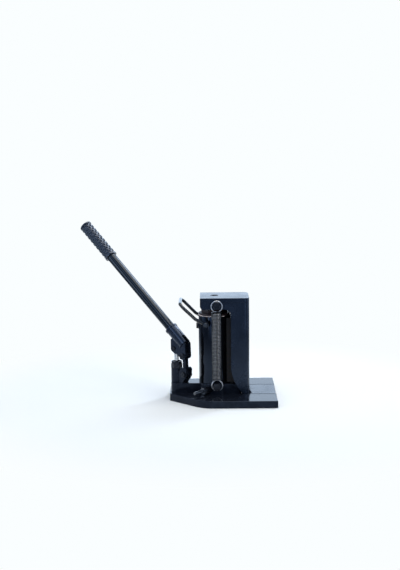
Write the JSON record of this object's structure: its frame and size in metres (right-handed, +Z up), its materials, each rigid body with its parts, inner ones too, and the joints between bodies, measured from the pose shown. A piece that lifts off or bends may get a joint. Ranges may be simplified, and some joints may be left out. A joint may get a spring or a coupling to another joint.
{
  "type": "hydraulic toe jack",
  "caption": "Hand-pumped hydraulic jack: fork base, oil tank and ram under a bent channel with a head plate and a low toe, side return springs and a socket for the pump handle.",
  "frame": {"origin": "where the ram's axis meets the floor, in the underside of the base", "axes": "+X towards the toe, +Y across the jack away from the release valve, +Z up along the ram"},
  "size_m": [0.5358, 0.351, 0.4579],
  "materials": {
    "cast_enamel": "gloss black on cast steel",
    "tank_enamel": "gloss black",
    "plate_enamel": "gloss black on rolled plate",
    "tube_enamel": "gloss black",
    "rod_enamel": "gloss black",
    "cast_iron": "machined",
    "grip_rubber": "moulded, raised diamonds",
    "spring_steel": "oiled wire",
    "bright_steel": "ground",
    "dark_steel": "blackened",
    "zinc_steel": "zinc plated",
    "bronze": "turned",
    "copper": "plain",
    "seal_rubber": "smooth"
  },
  "bodies": {
    "base": {"base_casting": "cast_enamel", "oil_tank": "tank_enamel", "top_cap": "tank_enamel", "front_return_spring": "spring_steel", "rear_return_spring": "spring_steel", "pressure_cylinder": "bright_steel", "valve_balls": "bright_steel", "release_ball": "bright_steel", "valve_springs": "spring_steel", "pump_cylinder": "dark_steel", "gland_nut": "dark_steel", "valve_gland": "dark_steel", "valve_plugs": "dark_steel", "lower_spring_screws": "dark_steel", "bail_screws": "zinc_steel", "link_foot_pin": "dark_steel", "link_foot_clip": "spring_steel", "ram_guide": "bronze", "cylinder_washer": "copper", "tank_gaskets": "seal_rubber", "rod_wiper": "seal_rubber", "pump_packing": "seal_rubber"},
    "carriage": {"lifting_column": "plate_enamel", "head_plate": "plate_enamel", "toe_plate": "plate_enamel", "head_screw": "dark_steel", "ram": "bright_steel", "piston": "bright_steel", "piston_seal": "seal_rubber", "guide_shoe": "cast_iron", "guide_shoe_screws": "dark_steel", "upper_spring_screws": "dark_steel"},
    "link": {"rocker_link": "cast_enamel"},
    "socket": {"handle_socket": "cast_enamel", "link_head_pin": "dark_steel", "plunger_pin": "dark_steel", "socket_clips": "spring_steel"},
    "plunger": {"pump_plunger": "bright_steel"},
    "handle": {"handle_tube": "tube_enamel", "handle_grip": "grip_rubber"},
    "bail": {"carry_bail": "rod_enamel"},
    "release_screw": {"release_valve": "dark_steel"},
    "filler": {"filler_plug": "seal_rubber"}
  },
  "joints": [
    {"name": "ram_lift", "type": "slide", "parent": "base", "child": "carriage", "axis": [0, 0, 1], "range_m": [0, 0.13], "stiffness_N_per_m": 800, "springref_m": -0.06, "deforming": ["front_return_spring", "rear_return_spring"]},
    {"name": "link_swing", "type": "hinge", "parent": "base", "child": "link", "pos_m": [-0.07678, -0.0197, 0.066], "axis": [0.6157, 0.788, 0], "range_deg": [-1, 7]},
    {"name": "lever_pump", "type": "hinge", "parent": "link", "child": "socket", "pos_m": [-0.07875, -0.01816, 0.117], "axis": [-0.6157, -0.788, 0], "range_deg": [-5, 40]},
    {"name": "plunger_stroke", "type": "slide", "parent": "base", "child": "plunger", "axis": [0, 0, 1], "range_m": [-0.02, 0.003]},
    {"name": "handle_pull", "type": "slide", "parent": "socket", "child": "handle", "axis": [-0.6037, 0.4716, 0.6428], "range_m": [0, 0.05]},
    {"name": "bail_swing", "type": "hinge", "parent": "base", "child": "bail", "pos_m": [-0.0228, 0, 0.205], "axis": [0, 1, 0], "range_deg": [-20, 25]},
    {"name": "valve_turn", "type": "hinge", "parent": "base", "child": "release_screw", "pos_m": [-0.017, -0.0457, 0.029], "axis": [-0.6428, -0.766, 0], "range_deg": [-360, 0]},
    {"name": "filler_pull", "type": "slide", "parent": "base", "child": "filler", "axis": [-1, 0, 0], "range_m": [0, 0.015]}
  ],
  "couplings": [
    {"joint": "link_swing", "follows": "lever_pump", "ratio": 0.153},
    {"joint": "plunger_stroke", "follows": "lever_pump", "m_per_rad": -0.02733}
  ]
}
